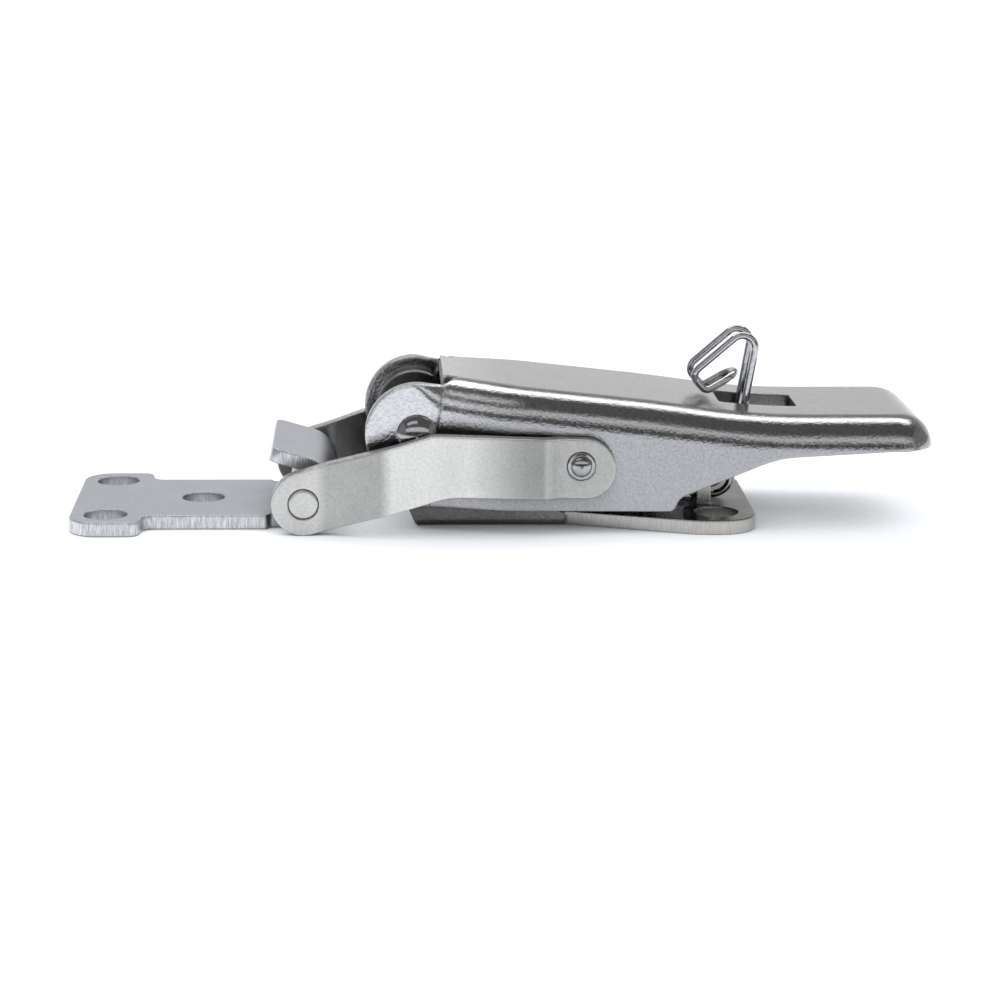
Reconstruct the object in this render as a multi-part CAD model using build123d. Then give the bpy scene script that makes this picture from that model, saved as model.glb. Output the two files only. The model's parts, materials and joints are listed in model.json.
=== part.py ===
"""Over-centre toggle latch in stainless sheet, with its strike plate and a safety catch wire.

Frame: the mounting plane is Z = 0.  The origin lies midway between the two screw holes in the
tail of the base.  +X runs from the strike towards the tip of the lever, and +Z is up.  The latch
is drawn closed, with its cross pin in the hook of the strike.  It is the same on both sides of
the XZ plane.  Lengths are in millimetres.
"""
import math
import os

from build123d import *

os.makedirs("parts", exist_ok=True)

# ---------------------------------------------------------------- sheet, wire and fits
SHEET = 2.0                     # stainless sheet of the base, lever, links and strike
WIRE = 1.0                      # spring wire of the safety catch
WIRE_SIDES = 12                 # flats that stand for its round section, 0.02 mm from a true circle
RUN_FIT = 0.05                  # radial clearance of a hole that turns on a pin
FIXED_FIT = 0.01                # radial clearance of a hole that is riveted to its pin
SIDE_GAP = 0.15                 # between flat faces that turn against each other
FAR = 60.0                      # longer than any cut has to reach

# ---------------------------------------------------------------- the three pivots, side view
PIVOT_X, PIVOT_Z = -41.5, 13.3      # lever on the ears of the base
LINK_X, LINK_Z = -19.3, 10.0        # links on the walls of the lever
HOOK_X, HOOK_Z = -57.0, 4.4         # cross pin in the hook of the strike
PIVOT_PIN_R = 2.0
LINK_PIN_R = 1.9
CROSS_PIN_R = 2.1

# ---------------------------------------------------------------- screw holes
SCREW_R = 3.0
TAIL_SCREW_PITCH = 18.8         # between the two holes in the tail
FRONT_SCREW_X = -33.0           # single hole in the floor of the base

# ---------------------------------------------------------------- base
EAR_GAP = 14.8                  # between the two walls of the base
BASE_BEND = 0.3                 # inside radius of the folds along the floor, which are struck sharp
BASE_EDGE = 1.0                 # their outside radius
BASE_EAR_R = 5.4
BASE_FOOT_X = -41.5             # front end of the floor
BASE_WALL_END_X = -24.0         # where the slope of the walls ends
BASE_WALL_LOW = 2.9             # height that the walls come down to there
WALL_RUN_OUT = 3.0              # length over which they run out into the flat tail
WALL_RUN_ROUND = 6.0
TAIL_WIDTH = 29.4
TAIL_END_X = 5.5
TAIL_WAIST_X = -21.0            # where the flare of the tail begins
TAIL_WAIST_HALF = 8.5           # half-width there
TAIL_FLARE_X = -3.0             # where the flare reaches the full width
TAIL_FLARE_ROUND = 8.0
TAIL_CORNER = 5.2

# catch tab, lanced out of the tail and bent up
TAB_X = -0.2                    # face towards the tip of the lever
TAB_WIDTH = 10.4
TAB_TOP = 6.8
TAB_CORNER = 1.5
TAB_HOLE_R = 0.85
LANCE_CUT = 0.5                 # width of the lancing cut beside the tab

# ---------------------------------------------------------------- lever
LEVER_WIDTH = 28.0
LEVER_BEND = 4.5                # outside radius of the long folds
LEVER_END_X = 29.6
LEVER_CORNER = 5.4              # plan radius of the two tip corners
WEB_FRONT = (-37.9, 20.95)      # front edge of the web
WEB_SHOULDER = (-13.4, 18.35)   # end of its straight slope
WEB_WAIST = (-2.9, 17.0)        # steepest point, between the two arcs that ease it to the level
WEB_LEVEL_Z = 15.85             # top of the level part, up to the tip
LEVER_EAR_R = 7.1
LEVER_EAR_DROP = 0.4            # how far the rim of the ear falls before it meets the web
FOLD_FADE = 4.9                 # length over which the folds fade out into the flat ears
FOLD_FADE_BEND = 0.4            # what is left of their radius there
FLARE_START = 0.9               # joggle behind the web's front edge, where the walls leave the ears
FLARE_END = 10.1                # where they have reached their full width
FLARE_BEND = 16.0               # radius of its four bends, seen from above
LEVER_CHIN = (-42.5, 3.3)       # lower front corner of the walls
LEVER_HEEL = (-6.4, 3.1)        # lower rear corner of the deep part of the walls
LEVER_RISE = (-5.5, 5.0)        # start of the straight rise behind the heel
LEVER_HIP = (7.9, 10.5)         # end of that rise
LEVER_LIP = (22.9, 11.35)       # lower edge under the grip
LEVER_TIP_Z = 11.5              # lower edge at the very tip
HEEL_ROUND = 1.0
RISE_ROUND = 2.0
HIP_ROUND = 14.0
SLOT_START_X = 0.7              # slot that the catch wire stands through
SLOT_LENGTH = 10.9
SLOT_WIDTH = 8.4
SLOT_CORNER = 0.7
RELIEF_IN = (1.3, 7.6)          # inner end of a relief slit: behind the web's front edge, off centre
RELIEF_OUT = (0.0, 9.0)         # outer end, beside the ear
RELIEF_WIDTH = 1.35
RELIEF_DEPTH = 2.3

# ---------------------------------------------------------------- links
NOSE_R = 4.4                    # round end on the cross pin
NOSE_STEP = 2.45                # how far the nose is set in from the bulge
BULGE = 1.05                    # how far the middle stands out from the rear end
LINK_KNEE_TOP = (-39.4, 14.35)
LINK_KNEE_LOW = (-37.2, 5.85)
LINK_KNEE_R = 4.0
LINK_TAIL_TOP = 13.5
LINK_TAIL_LOW = 5.4
LINK_TAIL_X = -14.6             # rear end of the links
TAIL_ROUND = 4.0                # its two corners
NOSE_BEND_X = -53.7             # where the strap leaves the plane of the nose
FLARE_BEND_X = -44.9            # where it reaches the bulge
BULGE_END_X = -24.0             # where it turns in again
TAIL_BEND_X = -22.3             # where it lies on the lever
NOSE_BEND_R = 5.0               # centre-line radii of those bends
TAIL_BEND_R = 2.2

# ---------------------------------------------------------------- rivets
HEAD_GAP = 0.1                  # under the heads of the lever pivot
PIVOT_HEAD_R = 2.85
PIVOT_HEAD_RIM = 0.35           # straight rim under the dome
PIVOT_HEAD_RISE = 1.9
LINK_PIN_PROUD = 0.2            # how far the link pin stands out of the links
LINK_DOME_R = 1.4               # peened dome on its end
LINK_DOME_RIM = 0.1
LINK_DOME_RISE = 0.75
CROSS_PIN_PROUD = 0.1
PIN_CHAMFER = 0.25

# ---------------------------------------------------------------- strike
STRIKE_END_X = -89.2
STRIKE_HEAD_WIDTH = 30.4
STRIKE_HEAD_LENGTH = 9.6
STRIKE_WIDTH = 22.0
STRIKE_TAPER = 0.6              # length of each slanting shoulder
STRIKE_NECK_X = -62.2           # where the plate narrows to the hook
HOOK_WIDTH = 20.0
STRIKE_CORNER = 4.0
STRIKE_SHOULDER = 1.5
STRIKE_SCREW_BACK = 4.9         # pair of holes, from the end of the head
STRIKE_SCREW_PITCH = 20.6
STRIKE_SCREW_X = -71.4          # single hole
HOOK_BEND = 3.0                 # inside radius of the hook
HOOK_PULL = 0.1                 # between the cross pin and the hook it pulls on
HOOK_LIP_RISE = 16.0            # degrees that the lip opens
HOOK_LIP = 5.3                  # straight length of the lip
LIP_CORNER = 1.3

# ---------------------------------------------------------------- safety catch wire
STRAND_GAP = 5.9                # between the centres of the two strands
LOOP_END_GAP = 4.5              # the same where they close inside the loop
CATCH_Z = 3.05                  # height of the strands in the tab
CATCH_FOOT = 2.4                # turned-out ends behind the tab
CATCH_FOOT_R = 0.7
CATCH_BACK = 1.3                # from the tab's rear face to those ends
CATCH_HEEL = (2.4, CATCH_Z)     # corner where the strands turn up
CATCH_HEEL_R = 2.6
CATCH_CROWN = (6.43, 28.4)      # corners of the finger loop, before rounding
CATCH_CROWN_R = 1.8
CATCH_BEAK = (-3.2, 20.0)
CATCH_BEAK_R = 1.4
CATCH_CHIN = (-0.95, 17.55)
CATCH_CHIN_R = 1.0
CATCH_END = (3.2, 20.0)         # closed end inside the loop

# ---------------------------------------------------------------- worked out from the above
EAR_OUT = EAR_GAP / 2 + SHEET                       # outer face of the base walls
LEVER_EAR_IN = EAR_OUT + SIDE_GAP                   # inner face of the lever ears
LEVER_EAR_OUT = LEVER_EAR_IN + SHEET
LEVER_HALF = LEVER_WIDTH / 2
LINK_IN = LEVER_HALF + SIDE_GAP                     # inner face of the links at the lever
LINK_OUT = LINK_IN + SHEET
BULGE_MID = LINK_IN + BULGE + SHEET / 2
NOSE_MID = BULGE_MID - NOSE_STEP
NOSE_OUT = NOSE_MID + SHEET / 2
HOOK_BEND_Z = SHEET + HOOK_BEND
HOOK_OFF_CENTRE = HOOK_BEND - CROSS_PIN_R - HOOK_PULL    # from the pin's axis to the hook's
HOOK_BEND_X = HOOK_X - math.sqrt(HOOK_OFF_CENTRE ** 2 - (HOOK_BEND_Z - HOOK_Z) ** 2)
SCREW_Y = TAIL_SCREW_PITCH / 2
STRIKE_SCREW_Y = STRIKE_SCREW_PITCH / 2
STRAND_Y = STRAND_GAP / 2
LOOP_END_R = LOOP_END_GAP / 2


# ---------------------------------------------------------------- small helpers
def slab(face, y_from, y_to):
    """A face of the XZ plane pushed out along Y, from one station to the other."""
    return Pos(0, y_to, 0) * extrude(Plane.XZ * face, amount=y_to - y_from)


def both_sides(shape):
    """A piece on the -Y side together with its mirror image."""
    return shape + mirror(shape, about=Plane.XZ)


def cross_rod(x, z, radius, half_length):
    """A round bar across the latch, centred on the XZ plane."""
    return Pos(x, 0, z) * Rot(90, 0, 0) * Cylinder(radius, 2 * half_length)


def upright_hole(x, y, radius):
    """A drill through the floor."""
    return Pos(x, y, 0) * Cylinder(radius, FAR)


def polygon(*points):
    """A flat face inside straight runs."""
    return make_face(Polyline(*points, close=True))


def tangent_point(centre, radius, point, side):
    """Where a line from the point touches the circle; side +1 or -1 picks which of the two."""
    away = Vector(*point) - Vector(*centre)
    swing = math.degrees(math.acos(radius / away.length)) * side
    arm = away.normalized() * radius
    touch = Vector(*centre) + arm.rotate(Axis.Z, swing)
    return (touch.X, touch.Y)


def rounded_edges(points, radii):
    """Straight runs through the points, with every inner corner rounded to its own radius."""
    corners = [Vector(*point) for point in points]
    edges = []
    start = corners[0]
    for before, corner, after, radius in zip(corners, corners[1:], corners[2:], radii):
        back = (before - corner).normalized()
        ahead = (after - corner).normalized()
        half_angle = math.radians(back.get_angle(ahead) / 2)
        reach = radius / math.tan(half_angle)
        middle = (back + ahead).normalized() * (radius / math.sin(half_angle) - radius)
        edges.append(Line(start, corner + back * reach))
        edges.append(ThreePointArc(corner + back * reach, corner + middle, corner + ahead * reach))
        start = corner + ahead * reach
    edges.append(Line(start, corners[-1]))
    return edges


def strip(edges):
    """A flat band, one sheet thick, along a bent centre line."""
    return trace(Wire(edges), SHEET)


def rounded_at(face, point, radius):
    """The face with its corner nearest to the point rounded off."""
    corner = face.vertices().sort_by_distance(Vector(*point))[0]
    return fillet(corner, radius)


# ---------------------------------------------------------------- base
def base_side():
    """Ears, sloping walls and floor of the base, seen from the side."""
    pivot = (PIVOT_X, PIVOT_Z)
    foot = (BASE_FOOT_X, 0)
    wall_end = (BASE_WALL_END_X, BASE_WALL_LOW)
    tail_end = (BASE_WALL_END_X + WALL_RUN_OUT, SHEET)
    front = tangent_point(pivot, BASE_EAR_R, foot, -1)
    back = tangent_point(pivot, BASE_EAR_R, wall_end, 1)
    walls = polygon(foot, front, pivot, back, wall_end, tail_end, (tail_end[0], 0))
    walls = rounded_at(walls, wall_end, WALL_RUN_ROUND)
    return walls + Pos(PIVOT_X, PIVOT_Z) * Circle(BASE_EAR_R)


def base_channel():
    """Floor, folds and walls, long enough to be trimmed to the side outline."""
    outside = Pos(0, FAR / 2) * Rectangle(2 * EAR_OUT, FAR)
    outside = fillet(outside.vertices().group_by(Axis.Y)[0], BASE_EDGE)
    inside = Pos(0, FAR / 2 + SHEET) * Rectangle(EAR_GAP, FAR)
    inside = fillet(inside.vertices().group_by(Axis.Y)[0], BASE_BEND)
    return extrude(Plane.YZ * (outside - inside), amount=FAR, both=True)


def tail_plan():
    """Flat tail: it flares from the width between the folds to the full width at the screws."""
    root = (BASE_WALL_END_X - SHEET, EAR_OUT - BASE_EDGE)
    waist = (TAIL_WAIST_X, TAIL_WAIST_HALF)
    shoulder = (TAIL_FLARE_X, TAIL_WIDTH / 2)
    end = (TAIL_END_X, TAIL_WIDTH / 2)
    near = [(x, -y) for x, y in (root, waist, shoulder, end)]
    far = [end, shoulder, waist, root]
    plan = polygon(*near, *far)
    plan = fillet(plan.vertices().group_by(Axis.X)[-1], TAIL_CORNER)
    for side in (-1, 1):
        plan = rounded_at(plan, (waist[0], side * waist[1]), TAIL_FLARE_ROUND)
        plan = rounded_at(plan, (shoulder[0], side * shoulder[1]), TAIL_FLARE_ROUND)
    return plan


def base_plate():
    """Channel folded from one blank, with its ears, its flat tail and the lanced catch tab."""
    body = base_channel() & slab(base_side(), -FAR, FAR)
    body += extrude(tail_plan(), amount=SHEET)

    window_half = TAB_WIDTH / 2 + LANCE_CUT
    window = Pos(TAB_X - SHEET - TAB_TOP / 2, 0) * Rectangle(TAB_TOP, 2 * window_half)
    body -= extrude(window, amount=SHEET)
    blank = Pos(TAB_X - SHEET / 2, 0, TAB_TOP / 2) * Box(SHEET, TAB_WIDTH, TAB_TOP)
    body += fillet(blank.edges().filter_by(Axis.X).group_by(Axis.Z)[-1], TAB_CORNER)

    for y in (-STRAND_Y, STRAND_Y):
        body -= Pos(TAB_X - SHEET / 2, y, CATCH_Z) * Rot(0, 90, 0) * Cylinder(TAB_HOLE_R, 2 * SHEET)
    for y in (-SCREW_Y, SCREW_Y):
        body -= upright_hole(0, y, SCREW_R)
    body -= upright_hole(FRONT_SCREW_X, 0, SCREW_R)
    return body - cross_rod(PIVOT_X, PIVOT_Z, PIVOT_PIN_R + FIXED_FIT, FAR)


# ---------------------------------------------------------------- lever
def web_slope():
    """Plane of the straight slope of the web: X runs down it from the front edge, Z stands on it."""
    down = (Vector(WEB_SHOULDER[0], 0, WEB_SHOULDER[1]) - Vector(WEB_FRONT[0], 0, WEB_FRONT[1]))
    return Plane(origin=(WEB_FRONT[0], 0, WEB_FRONT[1]), x_dir=down, z_dir=down.cross(Vector(0, 1, 0)))


def easing_curves():
    """The two arcs of the side view that take the web from its slope to the level."""
    slope = (Vector(*WEB_SHOULDER) - Vector(*WEB_FRONT)).normalized()
    steepen = TangentArc(WEB_SHOULDER, WEB_WAIST, tangent=slope)
    steepest = steepen % 1
    turn = math.atan2(-steepest.Y, steepest.X)
    radius = (WEB_WAIST[1] - WEB_LEVEL_Z) / (1 - math.cos(turn))
    level = (WEB_WAIST[0] + radius * math.sin(turn), WEB_LEVEL_Z)
    return steepen, TangentArc(WEB_WAIST, level, tangent=steepest)


def folded(block, radius):
    """A block with the top edges along its walls and round its tip rounded to the fold radius."""
    top = block.faces().sort_by(SortBy.AREA).filter_by(lambda face: face.normal_at().Z > 0.7)[-1]
    rim = [edge for edge in top.edges() if not crosses(edge)]
    return fillet(rim, radius)


def crosses(edge):
    """True for the straight edges that run from wall to wall across the web."""
    straight = edge.geom_type == GeomType.LINE
    return straight and abs(edge.tangent_at(0.5).Y) > 0.9 and edge.center().X < LEVER_END_X - 2 * SHEET


def front_block(inset):
    """Lever up to the end of its slope, where the walls flare from the ears to their full width."""
    corners = [(FLARE_START, LEVER_EAR_OUT), (FLARE_END, LEVER_HALF)]
    far = [(-FAR, LEVER_EAR_OUT)] + corners + [(FAR, LEVER_HALF)]
    plan = polygon(*far, *[(x, -y) for x, y in reversed(far)])
    for x, y in corners:
        for side in (-1, 1):
            plan = rounded_at(plan, (x, side * y), FLARE_BEND)
    plan = Pos(0, 0, -inset) * (offset(plan, -inset) if inset else plan)
    block = folded(web_slope() * extrude(plan, amount=-FAR / 2), LEVER_BEND - inset)
    return block & in_front((Vector(*WEB_SHOULDER) - Vector(*WEB_FRONT)).length)


def channel_section(inset, half, radius):
    """Section across the lever, hung under the web: two walls' width under two rounded corners."""
    section = Pos(0, -inset - FAR / 4) * Rectangle(2 * (half - inset), FAR / 2)
    return fillet(section.vertices().group_by(Axis.Y)[-1], radius - inset)


def middle_block(inset):
    """Lever along its two easing arcs."""
    steepen, settle = easing_curves()
    path = Plane.XZ * Wire([steepen, settle])
    start = Plane(origin=path @ 0, x_dir=(0, 1, 0), z_dir=path % 0)
    return sweep(start * channel_section(inset, LEVER_HALF, LEVER_BEND), path=path)


def tip_block(inset):
    """Level end of the lever, with the fold drawn round its tip."""
    start = easing_curves()[1] @ 1
    end, half = LEVER_END_X - inset, LEVER_HALF - inset
    plan = polygon((start.X, -half), (end, -half), (end, half), (start.X, half))
    for side in (-1, 1):
        plan = rounded_at(plan, (end, side * half), LEVER_CORNER - inset)
    return folded(Pos(0, 0, start.Y - inset) * extrude(plan, amount=-FAR / 2), LEVER_BEND - inset)


def lever_skin(inset):
    """Lever as a solid block, moved in by the given depth."""
    return front_block(inset) + middle_block(inset) + tip_block(inset)


def section_plane(along):
    """Plane across the lever, square to its slope, at a distance behind the web's front edge."""
    slope = web_slope()
    return Plane(origin=slope.origin + slope.x_dir * along, x_dir=(0, 1, 0), z_dir=slope.x_dir)


def in_front(along):
    """Everything in front of that plane."""
    return section_plane(along) * Pos(0, 0, -FAR) * Box(4 * FAR, 4 * FAR, 2 * FAR)


def ear_outline():
    """Ear of the lever, seen from the side, with the rim that runs back to the web."""
    pivot = (PIVOT_X, PIVOT_Z)
    front = tangent_point(pivot, LEVER_EAR_R, LEVER_CHIN, -1)
    rim = PIVOT_Z + LEVER_EAR_R
    ear = polygon(
        LEVER_CHIN, front, pivot, (PIVOT_X, rim), (WEB_FRONT[0], rim - LEVER_EAR_DROP),
        (WEB_FRONT[0], LEVER_CHIN[1]))
    return ear + Pos(PIVOT_X, PIVOT_Z) * Circle(LEVER_EAR_R)


def wall_outline():
    """Trimmed lower edge of the lever walls behind the ears, seen from the side."""
    walls = polygon(
        LEVER_CHIN, (WEB_FRONT[0], PIVOT_Z), (WEB_FRONT[0], FAR), (FAR, FAR), (FAR, LEVER_TIP_Z),
        (LEVER_END_X, LEVER_TIP_Z), LEVER_LIP, LEVER_HIP, LEVER_RISE, LEVER_HEEL)
    walls = rounded_at(walls, LEVER_HEEL, HEEL_ROUND)
    walls = rounded_at(walls, LEVER_RISE, RISE_ROUND)
    return rounded_at(walls, LEVER_HIP, HIP_ROUND)


def lever_handle():
    """Pressed lever: one sheet folded to a channel, with joggled ears and a drawn tip."""
    shell = lever_skin(0) - lever_skin(SHEET)
    body = shell & slab(ear_outline() + wall_outline(), -FAR, FAR)
    body -= in_front(0)
    ears = both_sides(slab(ear_outline(), -LEVER_EAR_OUT, -LEVER_EAR_IN))
    fade = loft([
        section_plane(-FOLD_FADE) * channel_section(0, LEVER_EAR_OUT, FOLD_FADE_BEND),
        section_plane(0) * channel_section(0, LEVER_EAR_OUT, LEVER_BEND)])
    body += ears & in_front(-FOLD_FADE)
    body += ears & fade

    slot = Pos(SLOT_START_X + SLOT_LENGTH / 2, 0) * RectangleRounded(SLOT_LENGTH, SLOT_WIDTH, SLOT_CORNER)
    body -= extrude(Pos(0, 0, PIVOT_Z) * slot, amount=FAR)
    slit_in = (WEB_FRONT[0] + RELIEF_IN[0], -RELIEF_IN[1])
    slit_out = (WEB_FRONT[0] + RELIEF_OUT[0], -RELIEF_OUT[1])
    slit = SlotCenterToCenter((Vector(*slit_out) - Vector(*slit_in)).length, RELIEF_WIDTH)
    turn = math.degrees(math.atan2(slit_in[1] - slit_out[1], slit_in[0] - slit_out[0]))
    centre = (Vector(*slit_in) + Vector(*slit_out)) / 2
    floor_z = WEB_FRONT[1] - RELIEF_DEPTH
    body -= both_sides(extrude(Pos(centre.X, centre.Y, floor_z) * Rot(0, 0, turn) * slit, amount=FAR))
    body -= cross_rod(PIVOT_X, PIVOT_Z, PIVOT_PIN_R + RUN_FIT, FAR)
    return body - cross_rod(LINK_X, LINK_Z, LINK_PIN_R + RUN_FIT, FAR)


# ---------------------------------------------------------------- links
def link_arm():
    """Near link: a strap with a set-in nose and a set-in rear end."""
    nose = (HOOK_X, HOOK_Z)
    tail_x = LINK_TAIL_X - TAIL_ROUND
    top = [tangent_point(nose, NOSE_R, LINK_KNEE_TOP, 1), LINK_KNEE_TOP, (LINK_TAIL_X, LINK_TAIL_TOP)]
    low = [(LINK_TAIL_X, LINK_TAIL_LOW), LINK_KNEE_LOW, tangent_point(nose, NOSE_R, LINK_KNEE_LOW, -1)]
    side = polygon(nose, *top, *low)
    side = rounded_at(side, (LINK_TAIL_X, LINK_TAIL_TOP), TAIL_ROUND)
    side = rounded_at(side, (LINK_TAIL_X, LINK_TAIL_LOW), TAIL_ROUND)
    side = rounded_at(side, LINK_KNEE_TOP, LINK_KNEE_R)
    side = rounded_at(side, LINK_KNEE_LOW, LINK_KNEE_R + LINK_TAIL_TOP - LINK_TAIL_LOW)
    side += Pos(HOOK_X, HOOK_Z) * Circle(NOSE_R)

    tail_mid = LINK_IN + SHEET / 2
    plan = strip(rounded_edges(
        [(HOOK_X - 2 * NOSE_R, -NOSE_MID), (NOSE_BEND_X, -NOSE_MID), (FLARE_BEND_X, -BULGE_MID),
         (BULGE_END_X, -BULGE_MID), (TAIL_BEND_X, -tail_mid), (0, -tail_mid)],
        [NOSE_BEND_R, NOSE_BEND_R, TAIL_BEND_R, TAIL_BEND_R]))
    arm = extrude(plan, amount=FAR) & slab(side, -FAR, FAR)
    arm -= cross_rod(HOOK_X, HOOK_Z, CROSS_PIN_R + FIXED_FIT, FAR)
    return arm - cross_rod(LINK_X, LINK_Z, LINK_PIN_R + FIXED_FIT, FAR)


# ---------------------------------------------------------------- rivets
def button(radius, rim, rise):
    """Rivet head on the XZ plane: a short straight rim under a dome, standing out along +Y."""
    profile = make_face(Curve() + [
        Line((0, 0), (radius, 0)),
        Line((radius, 0), (radius, rim)),
        RadiusArc((0, rise), (radius, rim), (radius ** 2 + (rise - rim) ** 2) / (2 * (rise - rim))),
        Line((0, rise), (0, 0))])
    return revolve(profile, Axis.Y)


def handle_pivot_pin():
    """Rivet through the four ears, with a button head on each side."""
    seat = LEVER_EAR_OUT + HEAD_GAP
    head = button(PIVOT_HEAD_R, PIVOT_HEAD_RIM, PIVOT_HEAD_RISE)
    shank = cross_rod(PIVOT_X, PIVOT_Z, PIVOT_PIN_R, seat)
    return shank + both_sides(Pos(PIVOT_X, seat, PIVOT_Z) * head)


def link_pivot_pin():
    """Pin through the lever and both links, its ends peened to small domes."""
    shoulder = LINK_OUT + LINK_PIN_PROUD
    dome = button(LINK_DOME_R, LINK_DOME_RIM, LINK_DOME_RISE)
    shank = cross_rod(LINK_X, LINK_Z, LINK_PIN_R, shoulder)
    return shank + both_sides(Pos(LINK_X, shoulder, LINK_Z) * dome)


def hook_pin():
    """Cross pin between the noses of the links."""
    pin = cross_rod(HOOK_X, HOOK_Z, CROSS_PIN_R, NOSE_OUT + CROSS_PIN_PROUD)
    return chamfer(pin.edges().filter_by(GeomType.CIRCLE), PIN_CHAMFER)


# ---------------------------------------------------------------- strike
def strike_plate():
    """T-headed plate whose narrow end is rolled up into the hook."""
    head_end = STRIKE_END_X + STRIKE_HEAD_LENGTH
    near = [
        (STRIKE_END_X, -STRIKE_HEAD_WIDTH / 2), (head_end, -STRIKE_HEAD_WIDTH / 2),
        (head_end + STRIKE_TAPER, -STRIKE_WIDTH / 2), (STRIKE_NECK_X, -STRIKE_WIDTH / 2),
        (STRIKE_NECK_X + STRIKE_TAPER, -HOOK_WIDTH / 2), (HOOK_BEND_X, -HOOK_WIDTH / 2)]
    far = [(x, -y) for x, y in reversed(near)]
    plan = polygon(*near, *far)
    for side in (-1, 1):
        plan = rounded_at(plan, (near[0][0], side * near[0][1]), STRIKE_CORNER)
        plan = rounded_at(plan, (near[1][0], side * near[1][1]), STRIKE_SHOULDER)
        plan = rounded_at(plan, (near[2][0], side * near[2][1]), STRIKE_SHOULDER)
    plate = extrude(plan, amount=SHEET)
    for y in (-STRIKE_SCREW_Y, STRIKE_SCREW_Y):
        plate -= upright_hole(STRIKE_END_X + STRIKE_SCREW_BACK, y, SCREW_R)
    plate -= upright_hole(STRIKE_SCREW_X, 0, SCREW_R)

    mid_radius = HOOK_BEND + SHEET / 2
    turn = CenterArc((HOOK_BEND_X, HOOK_BEND_Z), mid_radius, -90, 180 - HOOK_LIP_RISE)
    lip_run = Line(turn @ 1, turn @ 1 + (turn % 1) * HOOK_LIP)
    hook = slab(strip([turn, lip_run]), -HOOK_WIDTH / 2, HOOK_WIDTH / 2)
    lip_end = hook.faces().sort_by_distance(Vector((lip_run @ 1).X, 0, (lip_run @ 1).Y))[0]
    corners = [edge for edge in lip_end.edges() if abs(edge.tangent_at(0.5).Y) < 0.5]
    return plate + fillet(corners, LIP_CORNER)


# ---------------------------------------------------------------- safety catch wire
def strand(side, turn):
    """Centre line of one strand, from its foot behind the tab to the closed end of the loop."""
    foot_x = TAB_X - SHEET - CATCH_BACK
    y, end_y = side * STRAND_Y, side * LOOP_END_R
    corners = [(foot_x, y + side * CATCH_FOOT, CATCH_Z), (foot_x, y, CATCH_Z)]
    corners += [(x, y, z) for x, z in (CATCH_HEEL, CATCH_CROWN, CATCH_BEAK)]
    corners += [(x, end_y, z) for x, z in (CATCH_CHIN, turn)]
    radii = [CATCH_FOOT_R, CATCH_HEEL_R, CATCH_CROWN_R, CATCH_BEAK_R, CATCH_CHIN_R]
    return corners, radii


def safety_wire():
    """One spring wire: feet behind the tab, two upright strands and the finger loop."""
    lie = (Vector(*CATCH_END) - Vector(*CATCH_CHIN)).normalized()
    turn = (CATCH_END[0] - lie.X * LOOP_END_R, CATCH_END[1] - lie.Y * LOOP_END_R)
    near, near_radii = strand(-1, turn)
    far, far_radii = strand(1, turn)
    tip = ThreePointArc(near[-1], (CATCH_END[0], 0, CATCH_END[1]), far[-1])
    edges = rounded_edges(near, near_radii) + [tip] + rounded_edges(far[::-1], far_radii[::-1])
    path = Wire(edges)
    round_area = math.pi * WIRE ** 2 / 4
    corner_r = math.sqrt(2 * round_area / (WIRE_SIDES * math.sin(2 * math.pi / WIRE_SIDES)))
    start = Plane(origin=path @ 0, z_dir=path % 0)
    return sweep(start * RegularPolygon(corner_r, WIRE_SIDES), path=path)


# ---------------------------------------------------------------- write one STEP per piece
arm = link_arm()
pieces = {
    "base_plate": base_plate(),
    "handle_pivot_pin": handle_pivot_pin(),
    "lever_handle": lever_handle(),
    "link_pivot_pin": link_pivot_pin(),
    "near_link_arm": arm,
    "far_link_arm": mirror(arm, about=Plane.XZ),
    "hook_pin": hook_pin(),
    "strike_plate": strike_plate(),
    "safety_wire": safety_wire(),
}
for name, shape in pieces.items():
    export_step(shape, f"parts/{name}.step")
    box = shape.bounding_box()
    print(f"{name:18s} {len(shape.solids())} solid, {shape.volume:8.1f} mm3, "
          f"{box.size.X:.2f} x {box.size.Y:.2f} x {box.size.Z:.2f} mm")
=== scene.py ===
# %% [markdown]
# # Over centre toggle latch: dressing the imported model
# The latch is nine pieces of stainless steel: a folded base, a pressed lever, two link arms, three
# pins, a flat strike plate and a bent spring wire. The imported model already has every shape at its
# real size, so this lesson is about turning those plain solids into steel that has been sheared,
# folded, tumbled and handled. We load the model first, and later read each piece's box from it.

# %% Load the imported model
import json
import math

import bmesh
import bpy
from mathutils import Matrix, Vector
from mathutils.bvhtree import BVHTree

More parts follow.
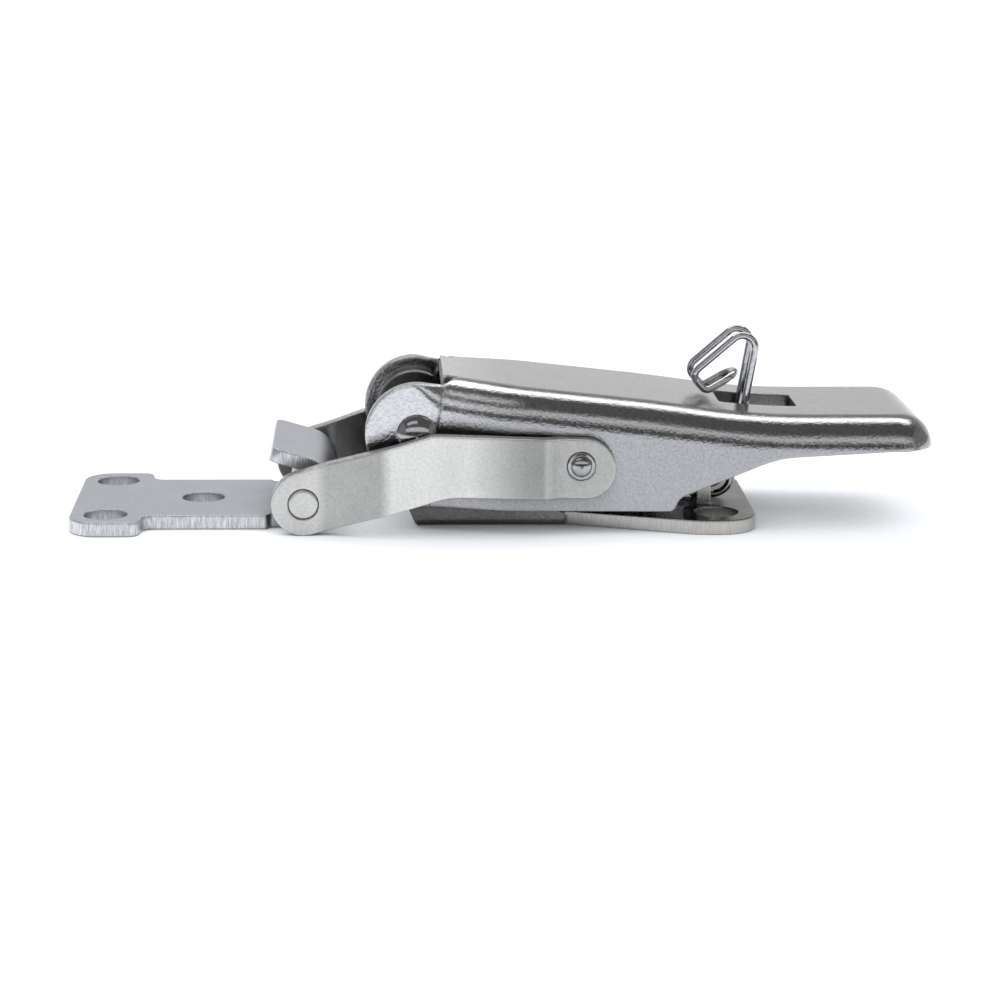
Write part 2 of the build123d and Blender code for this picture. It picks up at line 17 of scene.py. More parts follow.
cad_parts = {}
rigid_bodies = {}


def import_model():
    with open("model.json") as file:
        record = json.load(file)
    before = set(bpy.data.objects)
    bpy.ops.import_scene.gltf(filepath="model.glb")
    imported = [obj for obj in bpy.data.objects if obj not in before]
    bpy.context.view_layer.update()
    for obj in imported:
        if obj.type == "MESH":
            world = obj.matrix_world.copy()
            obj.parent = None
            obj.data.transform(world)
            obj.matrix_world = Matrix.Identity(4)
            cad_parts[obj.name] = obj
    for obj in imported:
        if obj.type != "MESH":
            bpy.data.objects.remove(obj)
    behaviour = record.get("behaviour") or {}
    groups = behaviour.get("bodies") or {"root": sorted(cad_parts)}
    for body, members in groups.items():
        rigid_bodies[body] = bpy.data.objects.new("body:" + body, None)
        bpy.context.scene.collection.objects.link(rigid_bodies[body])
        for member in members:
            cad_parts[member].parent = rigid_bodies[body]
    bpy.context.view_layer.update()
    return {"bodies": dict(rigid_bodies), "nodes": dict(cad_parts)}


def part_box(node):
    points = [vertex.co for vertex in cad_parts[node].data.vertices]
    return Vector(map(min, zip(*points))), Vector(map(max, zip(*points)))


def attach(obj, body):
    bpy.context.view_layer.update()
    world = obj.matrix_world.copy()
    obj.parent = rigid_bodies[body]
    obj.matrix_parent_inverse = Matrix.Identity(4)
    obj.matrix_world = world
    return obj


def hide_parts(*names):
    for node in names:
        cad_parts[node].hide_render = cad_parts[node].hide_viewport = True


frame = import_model()

# %% [markdown]
# ## A start file without its furniture
# Blender may start with a cube, a lamp and a camera. Removing whatever isn't part of the packed
# model leaves an empty studio, whichever start file is in use.

# %% Clear the studio
latch_parts = set(frame["nodes"].values()) | set(frame["bodies"].values())
for leftover in [o for o in bpy.data.objects if o not in latch_parts]:
    bpy.data.objects.remove(leftover)
MM = 0.001
print("pieces on the bench:", ", ".join(sorted(frame["nodes"])))

# %% [markdown]
# ## Steel that has been cut from sheet
# A sheared piece has two kinds of skin. Its faces keep the mill's smooth finish, and its cut edges
# are grained across the sheet by the punch. We could pick the edges by hand, but there is a
# simpler test: behind a face lies one thickness of steel, and behind a cut edge there is far more.
# The skin of a copy is gathered into regions that sharp corners divide, a ray goes inwards from
# each triangle, and a region where most rays go far is a cut edge.

# %% Tell cut edges from faces
SHEET = 2.0 * MM
SHEET_SLACK = 0.35 * MM  # how far from one sheet a face may measure and still count as a face
JUST_INSIDE = 0.02 * MM  # a ray starts this far under the skin, or it would hit its own triangle
SHARP = 35  # degrees between two faces that make a corner


def smooth_region(seed):
    """All the triangles that are joined to the seed without crossing a sharp corner."""
    region, waiting = [], [seed]
    seed.tag = True
    while waiting:
        face = waiting.pop()
        region.append(face)
        for edge in face.edges:
            if not edge.is_manifold or edge.calc_face_angle(0) > math.radians(SHARP):
                continue
            for other in edge.link_faces:
                if not other.tag:
                    other.tag = True
                    waiting.append(other)
    return region


def mark_cut_edges(mesh, skin, sheet):
    """Gives material 1 to every region that has more than one sheet of steel behind it."""
    marked = 0
    for seed in mesh.faces:
        if seed.tag:
            continue
        region = smooth_region(seed)
        area, thin = 0.0, 0.0
        for face in region:
            start = face.calc_center_median() - face.normal * JUST_INSIDE
            behind = skin.ray_cast(start, -face.normal)[3]
            area += face.calc_area()
            if behind is not None and abs(behind - sheet) < SHEET_SLACK:
                thin += face.calc_area()
        if thin < area / 2:
            marked += 1
            for face in region:
                face.material_index = 1
    return marked


print("a face has", SHEET / MM, "mm of steel behind it, give or take", SHEET_SLACK / MM)


# %% [markdown]
# ## Which edges are corners
# The angle between two faces tells most corners from the facets of a bend. One case fools it: where
# two stretches of the lever meet, a face as thin as a hair stands between them. A bevel there would
# draw a dark crack across smooth steel, so an edge of such a face doesn't count as a corner.

# %% Find the real corners
HAIR = 0.06 * MM  # a face thinner than this is no step that a press makes


def is_corner(edge, degrees):
    """True where two faces meet at more than the angle, unless one is a step as thin as a hair."""
    if not edge.is_manifold or edge.calc_face_angle(0) < math.radians(degrees):
        return False
    for face in edge.link_faces:
        longest = max(side.calc_length() for side in face.edges)
        if 2 * face.calc_area() < HAIR * longest:
            return False
    return True


print("faces under", HAIR / MM, "mm wide are left out of the corners")

# %% [markdown]
# ## Corners that have been tumbled
# A press leaves a burr, and tumbling with ceramic chips takes it off, so no edge of the latch is a
# razor. A narrow bevel of three segments rounds every corner, so that each one catches a thin line
# of light. Where a bevel has no room, as in the end of a slit, its points are pulled back to the
# packed skin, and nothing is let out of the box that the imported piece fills.

# %% Round the corners of a mesh
def round_corners(mesh, corner):
    """Bevels every sharp corner and returns how many there were."""
    corners = [edge for edge in mesh.edges if is_corner(edge, SHARP)]
    bmesh.ops.bevel(
        mesh,
        geom=corners,
        offset=corner,
        offset_type="OFFSET",
        segments=3,
        profile=0.5,
        affect="EDGES",
        clamp_overlap=False,
        material=-1,
    )
    return len(corners)


def pull_back(mesh, skin, box, corner):
    """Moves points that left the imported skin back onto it, and returns how many were moved."""
    pulled = 0
    low, high = box
    for vert in mesh.verts:
        on_skin, _, _, away = skin.find_nearest(vert.co)
        if away > 0.6 * corner:
            vert.co = on_skin
            pulled += 1
        vert.co = [min(max(v, l), h) for v, l, h in zip(vert.co, low, high)]
    return pulled


# %% [markdown]
# ## From packed triangles to a finished piece
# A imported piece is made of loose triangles. Its copy is merged, its cut edges are marked, and the
# triangles of each flat face are joined before the bevel. Shading is smooth except at edges that
# are still sharp, and a weighted normal keeps large flat faces looking flat beside their bevels.

# %% Copy a solid and finish it
STILL_SHARP = 50  # degrees between two faces that are shaded apart after the bevel


def finished_copy(node, body, corner=0.15 * MM, sheet=None):
    """A copy of a CAD node with rounded corners. Given a sheet, cut edges get material 1."""
    mesh = bmesh.new()
    mesh.from_mesh(frame["nodes"][node].data)
    bmesh.ops.remove_doubles(mesh, verts=mesh.verts, dist=0.001 * MM)
    for face in mesh.faces:
        face.material_index = 0
    skin = BVHTree.FromBMesh(mesh)
    cut = mark_cut_edges(mesh, skin, sheet) if sheet else 0
    bmesh.ops.dissolve_limit(
        mesh,
        angle_limit=math.radians(0.5),
        use_dissolve_boundaries=False,
        verts=mesh.verts,
        edges=mesh.edges,
        delimit={"MATERIAL"},
    )
    corners = round_corners(mesh, corner)
    pulled = pull_back(mesh, skin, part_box(node), corner)
    for face in mesh.faces:
        face.smooth = True
    for edge in mesh.edges:
        edge.smooth = not is_corner(edge, STILL_SHARP)
    data = bpy.data.meshes.new(node + "_steel")
    mesh.to_mesh(data)
    mesh.free()
    piece = bpy.data.objects.new(node + "_steel", data)
    bpy.context.scene.collection.objects.link(piece)
    even = piece.modifiers.new("even_light", "WEIGHTED_NORMAL")
    even.keep_sharp = True
    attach(piece, body)
    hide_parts(node)
    print(
        f"{piece.name}: {len(data.polygons)} faces, {cut} cut edges,",
        f"{corners} corners, {pulled} points pulled back",
    )
    return piece


# %% [markdown]
# ## Dressing the nine pieces
# Every piece rides on the body that carries it: the base and its rivet stay still, the lever turns
# on the rivet, the links and the strike plate swing on the link pin, and the wire rides on the
# catch.
# The wire is only a millimetre thick, so its corners are rounded less.

# %% Make the finished pieces
base = finished_copy("base_plate", "base", sheet=SHEET)
lever = finished_copy("lever_handle", "lever", sheet=SHEET)
near_arm = finished_copy("near_link_arm", "links", sheet=SHEET)
far_arm = finished_copy("far_link_arm", "links", sheet=SHEET)
strike = finished_copy("strike_plate", "links", sheet=SHEET)
handle_pin = finished_copy("handle_pivot_pin", "base")
link_pin = finished_copy("link_pivot_pin", "links")
hook_pin = finished_copy("hook_pin", "links")
wire = finished_copy("safety_wire", "catch", corner=0.08 * MM)

# %% [markdown]
# ## Colours and nodes
# Colours are easiest to choose as the hex values that a screen shows, while a shader works in
# linear light, so one function turns one into the other. A second small function adds a node to a
# material, with its settings and its links, and every material below is made with it.

# %% Colour and node helpers
def linear(hex_colour):
    """A hex colour as it looks on a screen, turned to the linear values of a shader."""
    parts = [int(hex_colour[i:i + 2], 16) / 255 for i in (1, 3, 5)]
    parts = [p / 12.92 if p <= 0.04045 else ((p + 0.055) / 1.055) ** 2.4 for p in parts]
    return (*parts, 1.0)


def add(tree, kind, links=(), **settings):
    """Adds a node, sets its properties and sockets by name, and links (socket, source) pairs."""
    node = tree.nodes.new(kind)
    for name, value in settings.items():
        socket = name.replace("_", " ").title() if not hasattr(node, name) else None
        if socket is None:
            setattr(node, name, value)
        else:
            node.inputs[socket].default_value = value
    for socket, source in links:
        tree.links.new(node.inputs[socket], source)
    return node


print("screen grey #808080 is", round(linear("#808080")[0], 3), "in linear light")

# %% [markdown]
# ## Corners that the hand has polished
# Tumbling and handling round a corner more softly than the bevel does, and leave it brighter than
# the sheet beside it. A Bevel node reads the skin within a short radius and bends the shading
# round the corner. Where its direction differs from the flat skin's, there is a corner, and that
# difference is our mask for wear.

# %% Worn corner helper
WORN_FROM, WORN_FULLY = 0.995, 0.80  # cosine of the angle by which the shading has turned


def worn_corner(tree, radius):
    """Shading direction rounded near corners, and a mask that is 1 on them. radius in mm."""
    soft = add(tree, "ShaderNodeBevel", samples=4, Radius=radius * MM)
    skin = add(tree, "ShaderNodeNewGeometry")
    turned = add(
        tree, "ShaderNodeVectorMath",
        [(0, soft.outputs["Normal"]), (1, skin.outputs["Normal"])], operation="DOT_PRODUCT",
    )
    wear = add(
        tree, "ShaderNodeMapRange", [("Value", turned.outputs["Value"])],
        From_Min=WORN_FROM, From_Max=WORN_FULLY, To_Min=0.0, To_Max=1.0,
    )
    return soft.outputs["Normal"], wear.outputs["Result"]


worn_turns = [round(math.degrees(math.acos(c))) for c in (WORN_FROM, WORN_FULLY)]
print("a corner is worn where its shading has turned by these degrees, from and fully:", worn_turns)


# %% [markdown]
# ## Painted shade in the hollows
# Inside the folded channels the steel sees only more steel, so there it lies in shade, and that
# shade is painted into the colour. An Ambient Occlusion node measures how much of the room each
# point can see, and we darken the colour where that is little. A plain upright wall sees half of the
# room, so it keeps its colour.

# %% Painted shade helper
OPEN_WITHIN = 40 * MM


def painted_hollow_shade(tree, colour, darkest, full=0.32):
    """Painted shade: the colour falls to its darkest share where the skin sees less than full of the
    room.
    """
    open_room = add(tree, "ShaderNodeAmbientOcclusion", samples=4, Distance=OPEN_WITHIN)
    left = add(
        tree, "ShaderNodeMapRange", [("Value", open_room.outputs["AO"])],
        From_Min=0.08, From_Max=full, To_Min=darkest, To_Max=1.0,
    )
    darker = add(
        tree, "ShaderNodeMix", [(6, colour), (7, left.outputs["Result"])],
        data_type="RGBA", blend_type="MULTIPLY", Factor=1.0,
    )
    return darker.outputs[2]


print("hollows are measured within", OPEN_WITHIN / MM, "mm")


# %% [markdown]
# ## Rolled stainless sheet
# Stainless sheet leaves the mill with a smooth, faintly pebbled skin. After pressing, the parts are
# tumbled, which leaves a shallow speckle a few tenths of a millimetre across. The eye sees it as
# mottled bands wherever the sheet bends, because each small facet mirrors a slightly different part
# of the room. Three layers make it: a speckle, a finer grain, and broad clouds that change only the
# gloss. Metal keeps the shader's own IOR, and its colour tints what it mirrors.
#
# The arms step outwards round the base and the lever's ears stand proud of it. Each stretch faces
# a slightly different way and mirrors a different part of the room, so light and shade are painted
# into the colour as a share of the tone along the length of these pieces.

# %% Bare steel and the light and shade painted along it
def bare_steel(name):
    """A new metal, with its node tree and its shader."""
    steel = bpy.data.materials.new(name)
    steel.use_nodes = True
    surface = steel.node_tree.nodes["Principled BSDF"]
    surface.inputs["Metallic"].default_value = 1.0
    return steel, steel.node_tree, surface


def painted_light_along(tree, where, colour, along):
    """Paints light and shade: the colour times a share that follows (x in mm, share) pairs from
    front to back.
    """
    first, last = along[0][0], along[-1][0]
    place = add(tree, "ShaderNodeSeparateXYZ", [("Vector", where.outputs["Object"])])
    way = add(
        tree, "ShaderNodeMapRange", [("Value", place.outputs["X"])],
        From_Min=first * MM, From_Max=last * MM, To_Min=0.0, To_Max=1.0,
    )
    share = add(tree, "ShaderNodeValToRGB", [("Fac", way.outputs["Result"])])
    stops = share.color_ramp.elements
    stops[0].color = (along[0][1],) * 3 + (1,)
    stops[1].color = (along[-1][1],) * 3 + (1,)
    for x, tone_share in along[1:-1]:
        stops.new((x - first) / (last - first)).color = (tone_share,) * 3 + (1,)
    painted_light_tone = add(
        tree, "ShaderNodeMix", [(6, colour), (7, share.outputs["Color"])],
        data_type="RGBA", blend_type="MULTIPLY", Factor=1.0,
    )
    return painted_light_tone.outputs[2]


# %% Sheet finish
CLOUD = 6 * MM  # broad patches of more and less gloss
GRAIN = 0.12 * MM  # the mill's own fine pebbling
DARKEST_PAINTED_SHADE = 0.10


def rolled_sheet(
    name, bright, dull, gloss, speckle, depth, grain_depth=0.0010, corner=0.35, along=(), full=0.32
):
    """Tumbled stainless sheet, lengths in mm. along is (x, share of the painted light and shade),
    front to back, and full is how little of the room a skin may see before painted shade begins.
    """
    steel, tree, surface = bare_steel(name)
    rounded, wear = worn_corner(tree, corner)
    where = add(tree, "ShaderNodeTexCoord")
    clouds = add(
        tree, "ShaderNodeTexNoise", [("Vector", where.outputs["Object"])],
        Scale=1 / CLOUD, Detail=4.0, Roughness=0.6,
    )
    spots = add(
        tree, "ShaderNodeTexNoise", [("Vector", where.outputs["Object"])],
        Scale=1 / (speckle * MM), Detail=3.0, Roughness=0.55,
    )
    grain = add(
        tree, "ShaderNodeTexNoise", [("Vector", where.outputs["Object"])],
        Scale=1 / GRAIN, Detail=2.0, Roughness=0.5,
    )
    tone = add(tree, "ShaderNodeValToRGB", [("Fac", spots.outputs["Fac"])])
    tone.color_ramp.elements[0].position = 0.36
    tone.color_ramp.elements[0].color = linear(dull)
    tone.color_ramp.elements[1].position = 0.62
    tone.color_ramp.elements[1].color = linear(bright)
    colour = tone.outputs["Color"]
    # Painted light and shade: the tone of each stretch along the piece is set from front to back.
    if along:
        colour = painted_light_along(tree, where, colour, along)
    polished = add(tree, "ShaderNodeMix", [(0, wear), (6, colour)], data_type="RGBA")
    polished.inputs[7].default_value = linear(bright)
    # Painted shade: the colour darkens in hollows where the skin sees little of the room.
    deep = painted_hollow_shade(tree, polished.outputs[2], DARKEST_PAINTED_SHADE, full)
    tree.links.new(surface.inputs["Base Color"], deep)
    sheen = add(
        tree, "ShaderNodeMapRange", [("Value", clouds.outputs["Fac"])],
        From_Min=0.3, From_Max=0.7, To_Min=gloss * 0.85, To_Max=gloss * 1.2,
    )
    rub = add(
        tree, "ShaderNodeMath", [(0, wear), (2, sheen.outputs["Result"])], operation="MULTIPLY_ADD"
    )
    rub.inputs[1].default_value = -0.35 * gloss
    tree.links.new(surface.inputs["Roughness"], rub.outputs[0])
    soft = add(
        tree, "ShaderNodeBump", [("Height", spots.outputs["Fac"]), ("Normal", rounded)],
        Strength=1.0, Distance=depth * MM,
    )
    fine = add(
        tree, "ShaderNodeBump",
        [("Height", grain.outputs["Fac"]), ("Normal", soft.outputs["Normal"])],
        Strength=1.0, Distance=grain_depth * MM,
    )
    tree.links.new(surface.inputs["Normal"], fine.outputs["Normal"])
    return steel


print("speckle, grain and clouds are drawn at", GRAIN / MM, "to", CLOUD / MM, "mm")

# %% [markdown]
# ## Four sheets of steel
# The lever is satin and gets the most gloss and the deepest waves, so its folds show broken bands
# of light. The arms were tumbled longest and are pale and softly speckled. The strike is matt and
# nearly even. The base is duller, with painted shade darkest at its front, which the arms cover.

# %% Lever, arms, strike and base
# Painted light and shade: the lever's ears are lightest and its walls darker, and each stretch of
# the arms has its own share, with a thin painted highlight at one crease.
lever_steel = rolled_sheet(
    "stainless_sheet_pressed_satin", "#DCDCDE", "#CCCCCE", 0.13, 0.38, 0.042, corner=0.6,
    along=((-40.0, 1.0), (-36.0, 0.88), (-29.0, 0.63), (30.0, 0.59)),
)
arm_steel = rolled_sheet(
    "stainless_sheet_tumbled", "#F5F4F1", "#E7E6E2", 0.32, 0.40, 0.024,
    along=(
        (-62.0, 0.78), (-55.2, 0.80), (-53.8, 0.56), (-46.6, 0.54), (-45.0, 0.97), (-34.5, 0.93),
        (-30.5, 0.66), (-27.0, 0.46), (-24.6, 0.42), (-24.0, 0.60), (-23.0, 0.50), (-21.5, 0.58),
        (-14.0, 0.60),
    ),
)
strike_steel = rolled_sheet("stainless_sheet_matt", "#CDD0D6", "#C3C6CC", 0.42, 0.30, 0.003)
# Painted shade: the base is darkest at its front, under the arms, lightest behind them and a little
# darker again at its tail.
base_steel = rolled_sheet(
    "stainless_sheet_folded", "#C9C6C1", "#B6B3AE", 0.26, 0.45, 0.030, full=0.55,
    along=((-48.0, 0.66), (-32.0, 0.68), (-23.0, 1.0), (8.0, 0.80)),
)
print("sheet finishes:", [m.name for m in (lever_steel, arm_steel, strike_steel, base_steel)])

# %% [markdown]
# ## Cut edges
# The punch leaves a burnished band where it enters and a torn, glittering band where the sheet
# breaks, both with fine lines straight through the thickness. A noise squeezed along the edge and
# stretched through the sheet draws those lines. The base and the strike plate lie flat, so their
# lines are upright, and the arms and the lever's walls stand up, so theirs run across. The edges
# of the base were tumbled longer, so there the lines are nearly gone.

# %% Cut edge finish
ACROSS, UPRIGHT = 1, 2  # the axis that goes through the sheet
LINE_WIDTH = 0.16 * MM  # between two lines of the shear, drawn a little coarser than real
LINE_LENGTH = 1.6 * MM


def cut_edge(
    name, bright, dull, through, depth=0.010, gloss=0.34, corner=0.35, darkest=1.0, full=0.5
):
    """A sheared edge, lengths in mm, with its lines running through the sheet and painted shade in
    its hollows.
    """
    steel, tree, surface = bare_steel(name)
    rounded, wear = worn_corner(tree, corner)
    where = add(tree, "ShaderNodeTexCoord")
    stretch = [1 / LINE_WIDTH] * 3
    stretch[through] = 1 / LINE_LENGTH
    squeeze = add(tree, "ShaderNodeMapping", [("Vector", where.outputs["Object"])], Scale=stretch)
    lines = add(
        tree, "ShaderNodeTexNoise", [("Vector", squeeze.outputs["Vector"])],
        Scale=1.0, Detail=4.0, Roughness=0.65,
    )
    tone = add(tree, "ShaderNodeValToRGB", [("Fac", lines.outputs["Fac"])])
    tone.color_ramp.elements[0].position = 0.34
    tone.color_ramp.elements[0].color = linear(dull)
    tone.color_ramp.elements[1].position = 0.64
    tone.color_ramp.elements[1].color = linear(bright)
    # Painted shade: the lines darken where the edge sees little of the room.
    tree.links.new(surface.inputs["Base Color"], painted_hollow_shade(tree, tone.outputs["Color"], darkest, full))
    sheen = add(
        tree, "ShaderNodeMapRange", [("Value", lines.outputs["Fac"])],
        From_Min=0.3, From_Max=0.7, To_Min=gloss * 1.25, To_Max=gloss * 0.75,
    )
    tree.links.new(surface.inputs["Roughness"], sheen.outputs["Result"])
    ridges = add(
        tree, "ShaderNodeBump", [("Height", lines.outputs["Fac"]), ("Normal", rounded)],
        Strength=1.0, Distance=depth * MM,
    )
    tree.links.new(surface.inputs["Normal"], ridges.outputs["Normal"])
    return steel


# darkest and full set how deep the painted shade in each edge's hollows goes.
strike_cut = cut_edge(
    "stainless_sheared_edge_upright_lines", "#F6F6F8", "#BCBCC0", UPRIGHT, darkest=0.10, full=0.42
)
base_cut = cut_edge(
    "stainless_sheared_edge_tumbled", "#C4C1BD", "#B8B5B0", UPRIGHT, depth=0.001, gloss=0.28
)
wall_cut = cut_edge(
    "stainless_sheared_edge_cross_lines", "#D4D4D5", "#9A9A9C", ACROSS,
    depth=0.006, darkest=0.2, full=0.75,
)
print("cut edges:", [m.name for m in (strike_cut, base_cut, wall_cut)])

# %% [markdown]
# ## Rivets and wire
# The rivet heads are formed by a spinning punch, so they are smooth, and mirror the room as small
# dark domes with the soft boxes in them. The catch is drawn through a die, which leaves the
# smoothest and brightest skin on the latch. Both are made like the sheet, with a finer grain.

# %% Rivet and wire finish
rivet_steel = rolled_sheet(
    "stainless_rivet_spun", "#B4B4B6", "#A6A6A8", 0.10, 0.6, 0.010, grain_depth=0.0004, corner=0.15
)
wire_steel = rolled_sheet(
    "stainless_wire_drawn", "#CACACC", "#B4B4B6", 0.07, 0.5, 0.004, grain_depth=0.0004, corner=0.08
)
print("smooth finishes:", [m.name for m in (rivet_steel, wire_steel)])

# %% [markdown]
# ## Who wears what
# The first finish of a piece goes on its faces, and the second on the cut edges that were marked.
# The round pieces have one finish all over.

# %% Put each finish on its piece
for piece, finishes in (
    (base, (base_steel, base_cut)),
    (lever, (lever_steel, wall_cut)),
    (near_arm, (arm_steel, wall_cut)),
    (far_arm, (arm_steel, wall_cut)),
    (strike, (strike_steel, strike_cut)),
    (handle_pin, (rivet_steel,)),
    (link_pin, (rivet_steel,)),
    (hook_pin, (arm_steel,)),
    (wire, (wire_steel,)),
):
    for finish in finishes:
        piece.data.materials.append(finish)
    print(piece.name, "wears", ", ".join(f.name for f in finishes))

# %% [markdown]
# ## Floor
# The latch lies on a white sheet. The floor is paper lit by the lamps, with a share of its own
# light that only camera and mirror rays see, so that it reads as pure white. That share fades where
# the latch hides the sky from the paper, so the dark line of contact under the steel stays.

# %% Floor
FLOOR_DROP = 0.02 * MM  # keeps the paper from sharing a plane with the steel
floor_mesh = bmesh.new()
bmesh.ops.create_grid(floor_mesh, x_segments=1, y_segments=1, size=3.0)
bmesh.ops.translate(floor_mesh, verts=floor_mesh.verts, vec=(0, 0, -FLOOR_DROP))
floor_data = bpy.data.meshes.new("white_floor")
floor_mesh.to_mesh(floor_data)
floor_mesh.free()
floor = bpy.data.objects.new("white_floor", floor_data)
bpy.context.scene.collection.objects.link(floor)
print("the paper lies", FLOOR_DROP / MM, "mm under the latch")


# %% Which rays see a thing
def seen_directly(tree):
    """1 for rays from the camera, from a mirror or through glass, and 0 for rays that light."""
    ray = add(tree, "ShaderNodeLightPath")
    mirrored = add(
        tree, "ShaderNodeMath",
        [(0, ray.outputs["Is Camera Ray"]), (1, ray.outputs["Is Glossy Ray"])], operation="ADD",
    )
    through = add(
        tree, "ShaderNodeMath",
        [(0, mirrored.outputs[0]), (1, ray.outputs["Is Transmission Ray"])],
        operation="ADD", use_clamp=True,
    )
    return through.outputs[0]


# %% White paper
paper = bpy.data.materials.new("white_paper")
paper.use_nodes = True
tree = paper.node_tree
tree.nodes.clear()
open_sky = add(tree, "ShaderNodeAmbientOcclusion", samples=8, Distance=30 * MM)
gloom = add(
    tree, "ShaderNodeMapRange", [("Value", open_sky.outputs["AO"])],
    From_Min=0.0, From_Max=0.62, To_Min=0.0, To_Max=0.80,
)
own_light = add(
    tree, "ShaderNodeMath", [(0, seen_directly(tree)), (1, gloom.outputs["Result"])],
    operation="MULTIPLY",
)
glow = add(
    tree, "ShaderNodeEmission", [("Strength", own_light.outputs[0])], Color=linear("#FAFCFF")
)
matt = add(tree, "ShaderNodeBsdfDiffuse", Color=(0.38, 0.40, 0.43, 1.0))
both = add(tree, "ShaderNodeAddShader", [(0, glow.outputs[0]), (1, matt.outputs[0])])
add(tree, "ShaderNodeOutputMaterial", [("Surface", both.outputs[0])])
floor.data.materials.append(paper)
print("floor wears", paper.name)

# %% [markdown]
# ## Studio cards
# Bare metal shows nothing but the room around it. In an all white room a pressed lever looks like
# paper, so a photographer hangs grey and black cards round it and leaves strips of white between
# them. Here the cards are one half pipe along the latch, with its grey set by the angle above the
# far edge of the table, and a dark card at each end. Only mirror rays meet it, so it casts no
# shadow and never hides anything.

# %% Half pipe of cards
CARD_RADIUS = 0.46
CARD_LENGTH = 1.2
pipe = bmesh.new()
bmesh.ops.create_cone(
    pipe, cap_ends=True, segments=96, radius1=CARD_RADIUS, radius2=CARD_RADIUS, depth=CARD_LENGTH
)
bmesh.ops.rotate(pipe, verts=pipe.verts, matrix=Matrix.Rotation(math.radians(90), 3, "Y"))
bmesh.ops.bisect_plane(
    pipe, geom=pipe.verts[:] + pipe.edges[:] + pipe.faces[:],
    plane_co=(0, 0, -0.001), plane_no=(0, 0, -1), clear_outer=True,
)
for face in pipe.faces:
    face.material_index = 1 if abs(face.normal.x) > 0.9 else 0
pipe_data = bpy.data.meshes.new("studio_cards")
pipe.to_mesh(pipe_data)
pipe.free()
cards = bpy.data.objects.new("studio_cards", pipe_data)
bpy.context.scene.collection.objects.link(cards)
cards.visible_camera = False
cards.visible_diffuse = False
cards.visible_shadow = False
cards.visible_transmission = False
cards.visible_volume_scatter = False
print("the cards stand", CARD_RADIUS, "m from the latch and are", CARD_LENGTH, "m long")

# %% [markdown]
# ## Greys of the cards
# Each pair is an angle above the far edge of the table in degrees, and how light the card is there.
# The far side is light and turns dark overhead, and the flat top of the lever mirrors its lowest
# part. The narrow white strip on the viewer's side draws a thin light line low on the lever's fold,
# between two dark bands. Upright walls mirror the paper and not the cards.

# %% Grey of the half pipe
CARD_GREYS = (
    (0, 0.84), (18, 0.80), (32, 0.42), (54, 0.30), (80, 0.15), (136, 0.15),
    (142, 0.95), (156, 0.95), (162, 0.10), (178, 0.10),
)
card = bpy.data.materials.new("grey_card")
card.use_nodes = True
tree = card.node_tree
tree.nodes.clear()
where = add(tree, "ShaderNodeTexCoord")
split = add(tree, "ShaderNodeSeparateXYZ", [("Vector", where.outputs["Object"])])
angle = add(
    tree, "ShaderNodeMath", [(0, split.outputs["Z"]), (1, split.outputs["Y"])], operation="ARCTAN2"
)
turn = add(tree, "ShaderNodeMapRange", [("Value", angle.outputs[0])], From_Max=math.pi)
shade = add(tree, "ShaderNodeValToRGB", [("Fac", turn.outputs["Result"])])
steps = shade.color_ramp.elements
steps[0].position, steps[1].position = 0.0, 1.0
for angle_deg, grey in CARD_GREYS[1:-1]:
    steps.new(angle_deg / 180).color = (grey, grey, grey, 1)
steps[0].color = (CARD_GREYS[0][1],) * 3 + (1,)
steps[len(steps) - 1].color = (CARD_GREYS[-1][1],) * 3 + (1,)
lit = add(tree, "ShaderNodeEmission", [("Color", shade.outputs["Color"])], Strength=1.0)
add(tree, "ShaderNodeOutputMaterial", [("Surface", lit.outputs[0])])
cards.data.materials.append(card)
print("the half pipe has", len(steps), "greys")

# %% Dark card at each end
end_card = bpy.data.materials.new("dark_end_card")
end_card.use_nodes = True
tree = end_card.node_tree
tree.nodes.clear()
lit = add(tree, "ShaderNodeEmission", Color=(0.30, 0.30, 0.30, 1.0), Strength=1.0)
add(tree, "ShaderNodeOutputMaterial", [("Surface", lit.outputs[0])])
cards.data.materials.append(end_card)
print("cards wear", [m.name for m in cards.data.materials])

# %% [markdown]
# ## Light
# The room gives an even light from everywhere, and a long soft box hangs a little behind and above
# the latch. It draws the white line along the lever's fold and lays the shadow towards the viewer.
# A weaker one in front of it lights only the hinge end, and breaks up the fold's dark band there.

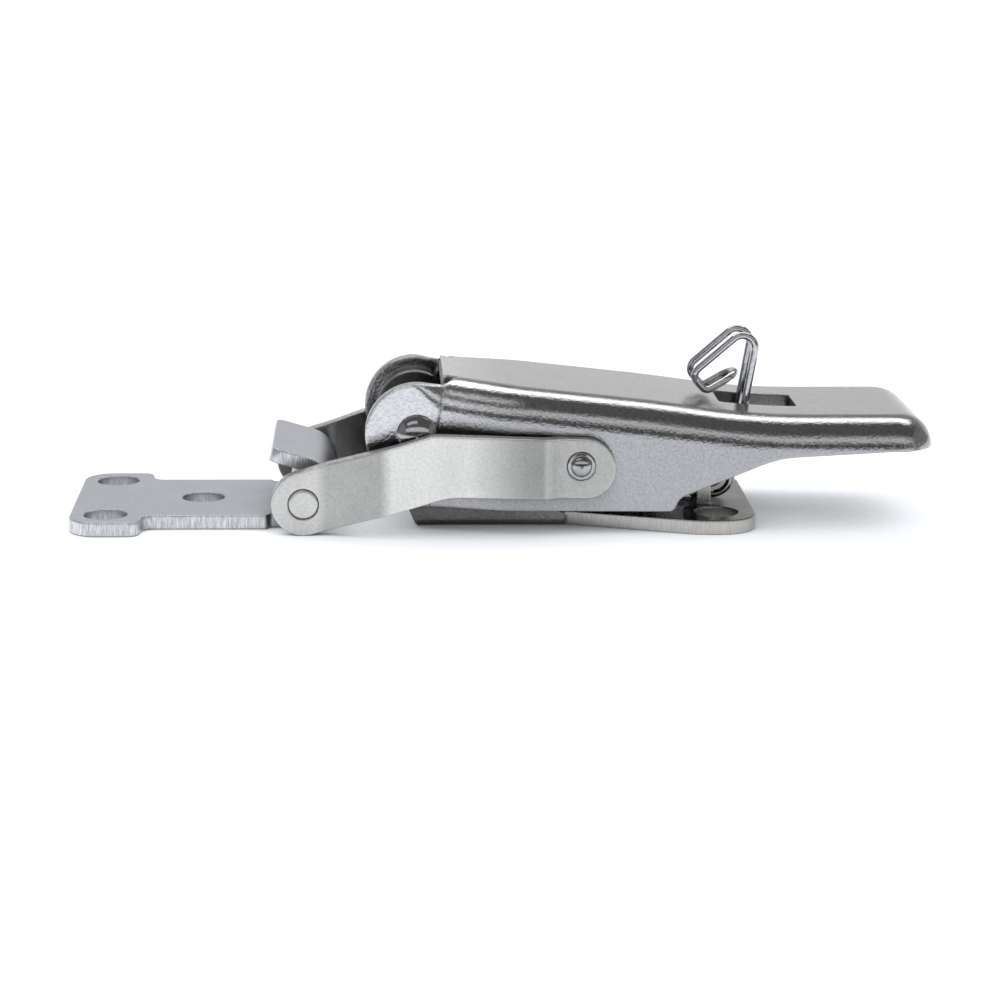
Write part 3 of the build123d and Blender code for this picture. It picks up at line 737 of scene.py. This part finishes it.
# %% Room
ROOM_LIGHT = 0.62  # how much the room gives to surfaces
ROOM_SEEN = 1.0  # white, where the camera or a mirror looks at it
room = bpy.context.scene.world or bpy.data.worlds.new("room")
bpy.context.scene.world = room
room.use_nodes = True
tree = room.node_tree
tree.nodes.clear()
level = add(
    tree, "ShaderNodeMapRange", [("Value", seen_directly(tree))],
    To_Min=ROOM_LIGHT, To_Max=ROOM_SEEN,
)
air = add(tree, "ShaderNodeBackground", [("Strength", level.outputs["Result"])], Color=(1, 1, 1, 1))
add(tree, "ShaderNodeOutputWorld", [("Surface", air.outputs[0])])
print("the room lights at", ROOM_LIGHT, "and is seen at", ROOM_SEEN)

# %% Soft boxes
LAMP_DISTANCE = 0.40


def hang_soft_box(name, along, size, angle_deg, brightness):
    """A soft box facing the latch from an angle above the table's far edge. Sizes in metres."""
    data = bpy.data.lights.new(name, "AREA")
    data.shape = "RECTANGLE"
    data.size, data.size_y = size
    data.energy = brightness * math.pi * size[0] * size[1]
    lamp = bpy.data.objects.new(name, data)
    bpy.context.scene.collection.objects.link(lamp)
    angle = math.radians(angle_deg)
    lamp.location = (along, LAMP_DISTANCE * math.cos(angle), LAMP_DISTANCE * math.sin(angle))
    lamp.rotation_euler = (angle - math.pi / 2, 0, 0)
    print(name, "hangs at", [round(v, 3) for v in lamp.location])


hang_soft_box("soft_box", 0.0, (0.55, 0.15), 68, 3.0)
hang_soft_box("fill_box", -0.20, (0.34, 0.10), 116, 0.75)

# %% [markdown]
# ## Camera
# A long lens from the lever's side, a little above the table, keeps the flat strike plate and the
# high lever both in view without bending their lines. The camera leans by a fifth of a degree, and
# a sideways shift of the lens keeps the latch in the middle without turning the camera to it.

# %% Camera
lens = bpy.data.cameras.new("camera")
lens.sensor_width = 36.0
lens.lens = 97.5
lens.shift_x = 0.0701
lens.shift_y = 0.0005
lens.clip_start, lens.clip_end = 0.01, 20.0
camera = bpy.data.objects.new("camera", lens)
bpy.context.scene.collection.objects.link(camera)
camera.location = (-0.0481, -0.3737, 0.091)
camera.rotation_euler = (math.radians(76.5), math.radians(-0.2), math.radians(-1.3))
bpy.context.scene.camera = camera
bpy.context.scene.view_settings.view_transform = "Standard"
print("camera:", lens.lens, "mm lens at", [round(v, 3) for v in camera.location])
